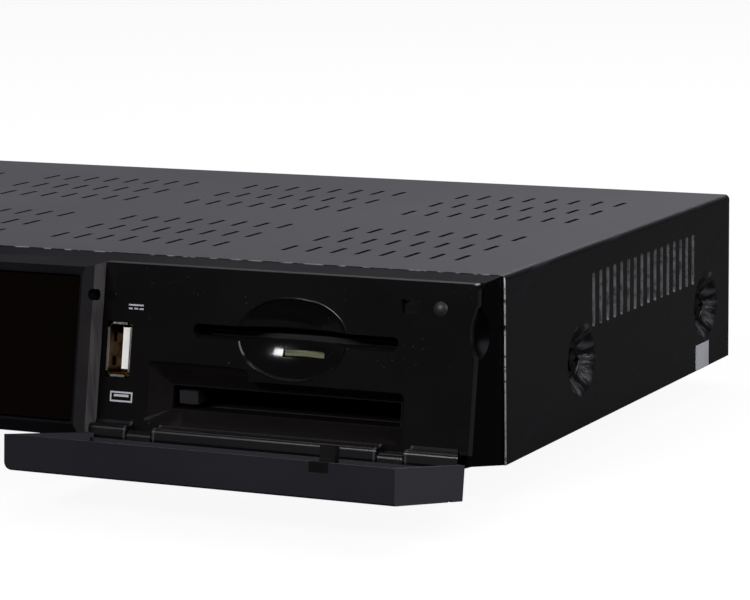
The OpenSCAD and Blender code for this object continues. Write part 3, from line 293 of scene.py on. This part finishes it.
def bay_plastic():
    """Black gloss of the bay with dust on it. Its hinge rail is satin, and the latch hole is
    painted near-black all the way in as a painted shade."""
    gloss, satin, brown = (0.0042, 0.0036, 0.0040), (0.0044, 0.0041, 0.0052), (0.020, 0.015, 0.015)
    hole_shade, lit_pale, edge = (0.0004, 0.0004, 0.0004), (0.016, 0.016, 0.017), (0.035, 0.034, 0.040)
    f = Finish("bay_plastic", gloss, 0.16, Specular_IOR_Level=0.35)
    x, n, s = f.leaning_spot()
    y = f.spot()[1]
    top = (f.facing()[2] > 0.8) * (s > BAY_TOP_S)

    # the rail's faces at the knuckle gaps are painted lighter: a painted highlight
    rail = (n > BAY_N + 0.06) * (s < RAIL_TOP_S)
    end_glints = 0.0
    for knuckle_x in KNUCKLE_MIDS:
        end_glints = end_glints + abs(x - knuckle_x).near(KNUCKLE_HALF, 0.25) * rail

    # the thumb dish is an ellipse, and out is 1 along its rim
    out = ((x - THUMB_X) * (1 / THUMB_A)).reach((s - THUMB_S) * (1 / THUMB_B))
    rim = out.step(0.96, 1.0) * (1.0 - out.step(1.0, 1.035)) * n.near(BAY_N, 0.6)
    dish = (out < 0.98) * (n < BAY_N - 0.1)
    funnel = (n < BAY_N - 0.5) * (s < FUNNEL_TOP_S) * (out > 1.05)
    lines = f.noise(1300, 2.0, (0.02, 1.0, 1.0)) * funnel
    # the latch hole is painted near-black: a painted shade deep in the hole
    hole = x.near(HOOK_X, 2.6) * s.near(HOOK_S, 2.1) * (n < BAY_N - 0.12)
    # the dome is painted lighter as a painted soft highlight, and made rougher
    dome = ((x - DOME_X).reach(s - DOME_S) < DOME_R) * (n > BAY_N + 0.03)

    specks = f.specks(700, 0.12) * f.noise(90, 1.0).step(0.55, 0.65) * 0.12
    dust = f.specks(300, 0.04) * f.noise(60, 1.0).step(0.58, 0.62) * 0.6
    blotch = f.noise(35, 3.0)
    tone = f.mix(blotch.step(0.3, 0.7), shade(gloss, 0.85), shade(gloss, 1.15))
    tone = f.mix(rail, tone, satin)
    tone = f.mix(dome, f.mix(hole, tone, hole_shade), lit_pale)
    tone = f.mix(lines * 0.35, f.mix(end_glints.clamped(), tone, edge), brown)
    grain = f.bump(f.noise(MOULD_GRAIN, 2.0), 0.000008, 0.5)
    return f.set(
        Base_Color=f.mix((specks + dust * 0.7).clamped(), tone, DUST),
        Roughness=(0.13 + 0.06 * blotch + 0.12 * rail + 0.3 * specks + 0.2 * top
                   + 0.6 * hole + 0.3 * dome - 0.03 * dish).clamped(),
        Normal=f.bump(rim, 0.00014, under=f.bump(y * top, 0.00015, under=grain)),
    )


def front_plastic():
    """Black gloss of the deep front. The wall beside the bay and the pillar's bevel are painted
    lighter, a painted light from the right, streaked with fine rubbing marks.
    """
    gloss, rubbed_and_lit = (0.0055, 0.0050, 0.0064), (0.095, 0.088, 0.093)
    f = Finish("front_plastic", gloss, 0.25, Specular_IOR_Level=0.06, Specular_Tint=COOL)
    x, n, _ = f.leaning_spot()
    y = f.spot()[1]
    across, _, up = f.facing()
    beside = (across > 0.97) * x.near(BAY_X - 0.1, 0.4) * (n < PILLAR_N + 0.1)
    bevel = (across > 0.3) * (n > PILLAR_N + 0.1) * (x > 0)
    streaks = f.noise(420, 4.0, (1.0, 1.0, 0.16))
    blotch = f.noise(40, 3.0)
    tone = f.mix(blotch.step(0.3, 0.7), shade(gloss, 0.88), shade(gloss, 1.12))
    # the right wall and its finger scallop are painted darker: a painted shade in the deep gap
    tone = f.mix((x > RIGHT_WALL_X) * (up < 0.5), tone, shade(gloss, 0.3))
    # the wall beside the bay and the pillar's bevel are painted lighter: a painted light from the
    # right, with rubbing streaks
    lit_and_streaked = beside * (0.5 + 0.7 * streaks.step(0.3, 0.7)) + bevel * 0.25
    # the strip along the top seems to slope a little more than it does
    slope = f.bump(y * (up > 0.8), 0.00015)
    rubbing = f.bump(streaks * beside, 0.00005, under=slope)
    return f.set(
        Base_Color=f.mix(lit_and_streaked, tone, rubbed_and_lit),
        Roughness=(0.21 + 0.1 * blotch + 0.3 * beside).clamped(),
        Normal=f.bump(f.noise(MOULD_GRAIN, 2.0), 0.00001, 0.5, under=rubbing),
    )


def flap_plastic():
    """Satin plastic of the flap. Its faces turned to the right are painted lighter, a painted light
    from the right. It is smooth and black at the knuckles, at the latch hook and on its outer face."""
    satin, gloss, lit_pale = (0.0102, 0.0095, 0.0145), (0.0040, 0.0036, 0.0042), (0.06, 0.057, 0.068)
    f = Finish("flap_plastic", satin, 0.45, Specular_IOR_Level=0.25)
    x, n, s = f.leaning_spot()
    across, _, up = f.facing()
    knuckle = (n - HINGE_N).reach(s - HINGE_S) < KNUCKLE_R
    hook = x.near(HOOK_X, 2.5) * (n > HINGE_N + HOOK_S - 6) * (s > HOOK_FOOT_S)
    smooth = (knuckle + hook + (up < -0.7)).clamped()
    blotch = f.noise(40, 3.0)
    tone = f.mix(blotch.step(0.3, 0.7), shade(satin, 0.92), shade(satin, 1.08))
    # faces turned to the right are painted lighter: a painted light from the right
    tone = f.mix((across > 0.3) * 0.8, tone, lit_pale)
    return f.set(
        Base_Color=f.mix(smooth, tone, gloss),
        Roughness=(0.38 + 0.14 * blotch - 0.18 * smooth).clamped(),
        Normal=f.bump(f.noise(MOULD_GRAIN, 2.0), 0.00002, 0.5),
    )


def moulded(name, colour, roughness, grain_depth=0.00002, **constants):
    """Injection-moulded plastic or even paint: a fine grain and soft blotches."""
    f = Finish(name, colour, roughness, **constants)
    blotch = f.noise(40, 3.0)
    return f.set(
        Base_Color=f.mix(blotch.step(0.3, 0.7), shade(colour, 0.9), shade(colour, 1.1)),
        Roughness=(roughness * 0.85 + 0.3 * roughness * blotch).clamped(),
        Normal=f.bump(f.noise(MOULD_GRAIN, 2.0), grain_depth, 0.5),
    )


def sheet_metal(name, colour, roughness, stretch=(1.0, 0.04, 1.0)):
    """Rolled sheet with a faint grain along one axis."""
    f = Finish(name, colour, roughness, Metallic=1.0)
    grain = f.noise(1500, 3.0, stretch)
    stain = f.noise(30, 2.0)
    return f.set(
        Base_Color=f.mix(stain.step(0.3, 0.75), shade(colour, 0.86), colour),
        Roughness=(roughness * 0.8 + 0.3 * grain * roughness + 0.1 * stain).clamped(),
        Normal=f.bump(grain, 0.00002, 0.4),
    )


def turned_metal(name, colour, roughness):
    """Plated turned parts: rings round the axis that points to the back."""
    f = Finish(name, colour, roughness, Metallic=1.0)
    rings = f.noise(1200, 2.0, (0.05, 1.0, 0.05))
    return f.set(
        Base_Color=f.mix(rings, shade(colour, 0.85), colour),
        Roughness=(roughness * 0.7 + 0.6 * roughness * rings).clamped(),
        Normal=f.bump(rings, 0.00003, 0.5),
    )


def shell_metal():
    """Springy plated sheet of the memory socket: its mouth painted light as a painted highlight,
    and brown deeper in, the plating's colour darkened there as a painted shade.
    """
    mouth_glint, brown = (0.78, 0.74, 0.68), (0.30, 0.19, 0.09)
    f = Finish("shell_metal", brown, 0.22, Metallic=1.0)
    n = f.leaning_spot()[1]
    grain = f.noise(1500, 3.0, (1.0, 1.0, 0.05))
    stain = f.noise(500, 3.0)
    shaded_inside = f.mix(stain.step(0.35, 0.65), shade(brown, 0.5), brown)
    return f.set(
        # the mouth is painted light as a painted highlight, and the brown plating further in is
        # darkened as painted shade
        Base_Color=f.mix((n - BAY_N).step(-0.9, -0.2), shaded_inside, mouth_glint),
        Roughness=(0.18 + 0.12 * grain).clamped(),
        Normal=f.bump(stain, 0.00015, 0.6),
    )


def circuit_board(name, mask_colour, track_colour):
    """Solder mask over tracks, with bare solder points."""
    f = Finish(name, mask_colour, 0.35)
    cells = f.node("ShaderNodeTexVoronoi", {"feature": "DISTANCE_TO_EDGE"}, Vector=f.place(),
                   Scale=260)
    tracks = 1.0 - cells.step(0.05, 0.09)
    dots = f.specks(380, 0.22)
    tone = f.mix(tracks, mask_colour, track_colour)
    return f.set(
        Base_Color=f.mix(dots, tone, (0.55, 0.56, 0.55)),
        Roughness=(0.38 - 0.15 * dots).clamped(),
        Metallic=dots * 0.8,
        Normal=f.bump(tracks, 0.00004, 0.5),
    )


def board_edge():
    """Cut edge of a glass-fibre board: fine layers, greenish grey."""
    glass, resin = (0.17, 0.175, 0.105), (0.09, 0.095, 0.052)
    f = Finish("board_edge", glass, 0.5)
    layers = f.noise(3500, 2.0, (0.05, 0.05, 1.0))
    return f.set(
        Base_Color=f.mix(layers.step(0.35, 0.65), resin, glass),
        Roughness=(0.4 + 0.3 * layers).clamped(),
        Normal=f.bump(layers, 0.00004, 0.6),
    )


# Colour, roughness and, where it isn't the usual one, the depth of the grain.
PLASTICS = {
    "rear_paint": ((0.035, 0.035, 0.038), 0.42, 0.00003),
    "foot_rubber": ((0.012, 0.012, 0.013), 0.75, 0.00006),
    "label_film": ((0.62, 0.63, 0.68), 0.35, 0.00001),
    "display_glass": ((0.02, 0.024, 0.024), 0.1, 0.000003),
    "sensor_epoxy": ((0.03, 0.006, 0.008), 0.12, 0.000005),
    "key_plastic": ((0.018, 0.0175, 0.020), 0.3),
    "white_plastic": ((0.90, 0.89, 0.87), 0.4),
    "black_plastic": ((0.006, 0.006, 0.0065), 0.5),
    "grey_plastic": ((0.013, 0.013, 0.015), 0.35),
    "coil_tape": ((0.62, 0.42, 0.05), 0.3, 0.00004),
    "can_sleeve": ((0.02, 0.02, 0.028), 0.25),
    "phono_plastic": ((0.70, 0.45, 0.05), 0.35),
    "cable_grey": ((0.25, 0.26, 0.27), 0.5),
    "cable_red": ((0.25, 0.03, 0.03), 0.45),
    "cable_brown": ((0.10, 0.05, 0.03), 0.45),
    "print_white": ((0.42, 0.43, 0.47), 0.5),
}
# Colour, roughness and, where it isn't drawn out towards the back, how the grain is stretched.
SHEETS = {
    "bare_steel": ((0.58, 0.59, 0.60), 0.38),
    "dark_screw": ((0.05, 0.05, 0.055), 0.35, (1.0, 1.0, 1.0)),
    "switch_metal": ((0.5, 0.51, 0.52), 0.35),
    "pin_steel": ((0.5, 0.51, 0.52), 0.25),
    "contact_metal": ((0.75, 0.58, 0.28), 0.25),
    "cooler_metal": ((0.06, 0.06, 0.065), 0.4),
    "sink_metal": ((0.6, 0.61, 0.62), 0.35, (1.0, 1.0, 0.05)),
    "cage_metal": ((0.10, 0.095, 0.095), 0.35),
    "tin_plate": ((0.62, 0.63, 0.64), 0.3),
}
MADE = [moulded(name, *look) for name, look in PLASTICS.items()]
MADE += [sheet_metal(name, *look) for name, look in SHEETS.items()]
MADE += [
    cover_paint(),
    bay_plastic(),
    front_plastic(),
    flap_plastic(),
    shell_metal(),
    board_edge(),
    moulded("window_plastic", (0.0022, 0.0009, 0.0007), 0.06, 0.000003, Specular_IOR_Level=0.25),
    circuit_board("green_board", (0.012, 0.085, 0.035), (0.03, 0.16, 0.06)),
    circuit_board("brown_board", (0.36, 0.25, 0.11), (0.28, 0.17, 0.07)),
    turned_metal("nickel_metal", (0.66, 0.64, 0.60), 0.2),
]
FINISHES = {finish.name: finish for finish in MADE}

slot_of = {part["node"]: part["material_slot"] for part in frame["record"]["subparts"]}
slot_of["flap"] = "flap_plastic"
slot_of["module_cage"] = "cage_metal"
for node_name, node_object in NODES.items():
    for material_slot in node_object.material_slots:
        material_slot.material = FINISHES[slot_of[node_name]].material


# ---------- small pieces ----------
def prism(bm, bottom, top):
    """Closes two rings of places into a solid."""
    low, high = ([bm.verts.new(place) for place in ring] for ring in (bottom, top))
    bm.faces.new(high)
    bm.faces.new(reversed(low))
    for i in range(len(low)):
        j = (i + 1) % len(low)
        bm.faces.new((low[i], low[j], high[j], high[i]))


def add_to_case(name, bm, finish):
    """Makes a piece of a finished solid. It rides on the case."""
    mesh = bpy.data.meshes.new(name)
    bm.to_mesh(mesh)
    bm.free()
    mesh.materials.append(FINISHES[finish].material)
    piece = bpy.data.objects.new(name, mesh)
    bpy.context.scene.collection.objects.link(piece)
    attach(piece, "case")


PRINT_H = 0.02
LINE = 0.4
# Plain pictograms at the memory socket, direct current above it and a plug below it. Each has
# its middle in X and S, and its bars: the offset in X and S, the width and the height.
MARKS = {
    (SIDE_X - 95.2, 32.4): [
        (0, 0.45, 4.2, LINE),
        (-1.55, -0.45, 1.1, LINE),
        (0, -0.45, 1.1, LINE),
        (1.55, -0.45, 1.1, LINE),
    ],
    (SIDE_X - 97.9, 9.7): [
        (0, 1.1, 6.4, LINE),
        (0, -1.1, 6.4, LINE),
        (-3.0, 0, LINE, 1.8),
        (3.0, 0, LINE, 1.8),
        (0, 0.3, 4.2, 0.6),
    ],
}


def socket_marks():
    bm = bmesh.new()
    corners = [(-0.5, -0.5), (0.5, -0.5), (0.5, 0.5), (-0.5, 0.5)]
    for (x, s), bars in MARKS.items():
        for dx, ds, width, height in bars:
            prism(bm, *([leaning(x + dx + a * width, BAY_N + lift, s + ds + b * height)
                         for a, b in corners] for lift in (-PRINT_H, PRINT_H)))
    bmesh.ops.recalc_face_normals(bm, faces=bm.faces)
    return bm


# Front edge of the board's tip: the offset in X and the place in N.
TIP_FRONT = [(-5.6, 13.9), (-3.0, 13.65), (0.0, 13.6), (3.0, 13.9), (5.6, 14.5)]
TIP_HALF = 0.76


def reader_board_tip():
    """The end of the card reader's board, which reaches into the window in the thumb dish."""
    back_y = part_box("card_reader_board")[0][1] - 0.02 * MM
    outline = []
    for dx, n in TIP_FRONT:
        s = (WINDOW_Z - n * math.sin(RAKE)) / math.cos(RAKE)
        place = leaning(WINDOW_X + dx, n, s)
        outline.append((place.x, place.y))
    outline += [((WINDOW_X + dx) * MM, back_y) for dx in (TIP_FRONT[-1][0], TIP_FRONT[0][0])]
    bm = bmesh.new()
    prism(bm, *([(x, y, (WINDOW_Z + FOOT_H + dz) * MM) for x, y in outline]
                for dz in (-TIP_HALF, TIP_HALF)))
    bmesh.ops.recalc_face_normals(bm, faces=bm.faces)
    bmesh.ops.bevel(bm, geom=bm.edges[:], offset=0.06 * MM, segments=2, affect="EDGES")
    return bm


add_to_case("socket_marks", socket_marks(), "print_white")
add_to_case("reader_board_tip", reader_board_tip(), "board_edge")


# ---------- studio ----------
WHITE = (1.0, 1.0, 1.0)
DIM_FLOOR, PALE_FLOOR = (0.05, 0.05, 0.05), (0.9, 0.9, 0.9)
FLOOR_HALF = 4.0
WORLD_FRONT, WORLD_BACK = 0.04, 0.66


def studio_floor():
    """Plain white to the camera, with the object's shadow, and dim as a light on the object."""
    f = Finish("studio_floor", DIM_FLOOR, 1.0, Specular_IOR_Level=0.0)
    camera = f.ray("Camera")
    f.set(Base_Color=f.mix(camera, DIM_FLOOR, PALE_FLOOR))
    glow = f.node("ShaderNodeEmission", {}, Color=WHITE)
    share = (camera * 0.93 + (f.ray("Glossy") + f.ray("Transmission")) * 0.02).clamped()
    blend = f.node("ShaderNodeMixShader", {}, share, Wire(f, f.shader.outputs[0]), glow)
    f.feed(f.tree.nodes["Material Output"].inputs["Surface"], blend)
    mesh = bpy.data.meshes.new("studio_floor")
    corners = [(a * FLOOR_HALF, b * FLOOR_HALF, 0) for a, b in ((-1, -1), (1, -1), (1, 1), (-1, 1))]
    mesh.from_pydata(corners, [], [(0, 1, 2, 3)])
    mesh.materials.append(f.material)
    floor = bpy.data.objects.new("studio_floor", mesh)
    bpy.context.scene.collection.objects.link(floor)


def studio_world():
    """White to the camera. As light and in mirrored rays it is dim, so that black gloss stays
    black: brightest low behind the object, and darker above it, before it and at its right."""
    world = bpy.data.worlds.new("studio")
    bpy.context.scene.world = world
    world.use_nodes = True
    g = Graph(world.node_tree)
    right, back, up = g.axes(g.node("ShaderNodeTexCoord", {}, output="Generated"))
    level = (back.step(-0.1, 0.6, WORLD_FRONT, WORLD_BACK) * up.step(0.15, 0.30, 1.0, 0.12)
             * right.step(-0.1, 0.35, 1.0, 0.03))
    camera = g.ray("Camera")
    backdrop = world.node_tree.nodes["Background"].inputs
    g.feed(backdrop["Strength"], g.node("ShaderNodeMix", {}, camera, level, 1.0))
    g.feed(backdrop["Color"], g.mix(camera, COOL, WHITE))


def softbox(name, place, aim, size, level):
    """A softbox that lights a surface turned towards it, at aim, to the given level."""
    light = bpy.data.lights.new(name, "AREA")
    light.shape = "RECTANGLE"
    light.size, light.size_y = size
    light.energy = level * math.pi ** 2 * (Vector(place) - Vector(aim)).length_squared
    lamp = bpy.data.objects.new(name, light)
    bpy.context.scene.collection.objects.link(lamp)
    lamp.location = place
    lamp.rotation_euler = (Vector(aim) - Vector(place)).to_track_quat("-Z", "Y").to_euler()


studio_floor()
studio_world()
softbox("softbox_above", (0.0, 0.5, 1.3), (0, 0, 0.03), (1.4, 1.0), 0.7)
softbox("softbox_right", (1.5, -0.5, 0.95), (0.1, -0.05, 0.03), (1.0, 1.3), 0.55)
softbox("softbox_back", (0.0, 1.3, 1.2), (0, 0.05, 0.03), (0.8, 0.5), 0.25)
softbox("softbox_front", (-0.3, -1.5, 1.0), (0, 0, 0.03), (0.5, 0.4), 0.7)

# ---------- camera ----------
FOCAL_PX, IMAGE_W, SENSOR = 3170, 750, 36.0
AZIMUTH, ELEVATION, ROLL = (math.radians(a) for a in (25.57, 9.17, 0.65))
EYE = Vector((296.2 + SIDE_X, -691.4 - MID_Y, 162.3 + FOOT_H)) * MM


def photograph_camera():
    ahead = Vector((-math.sin(AZIMUTH) * math.cos(ELEVATION),
                    math.cos(AZIMUTH) * math.cos(ELEVATION), -math.sin(ELEVATION)))
    right = Vector((math.cos(AZIMUTH), math.sin(AZIMUTH), 0))
    down = ahead.cross(right)
    level_right = math.cos(ROLL) * right + math.sin(ROLL) * down
    level_down = -math.sin(ROLL) * right + math.cos(ROLL) * down
    data = bpy.data.cameras.new("camera")
    data.sensor_width = SENSOR
    data.lens = FOCAL_PX * SENSOR / IMAGE_W
    data.clip_start = 0.05
    camera = bpy.data.objects.new("camera", data)
    bpy.context.scene.collection.objects.link(camera)
    turn = Matrix((level_right, -level_down, -ahead)).transposed()
    camera.matrix_world = Matrix.Translation(EYE) @ turn.to_4x4()
    bpy.context.scene.camera = camera


photograph_camera()
bpy.context.scene.view_settings.view_transform = "Standard"
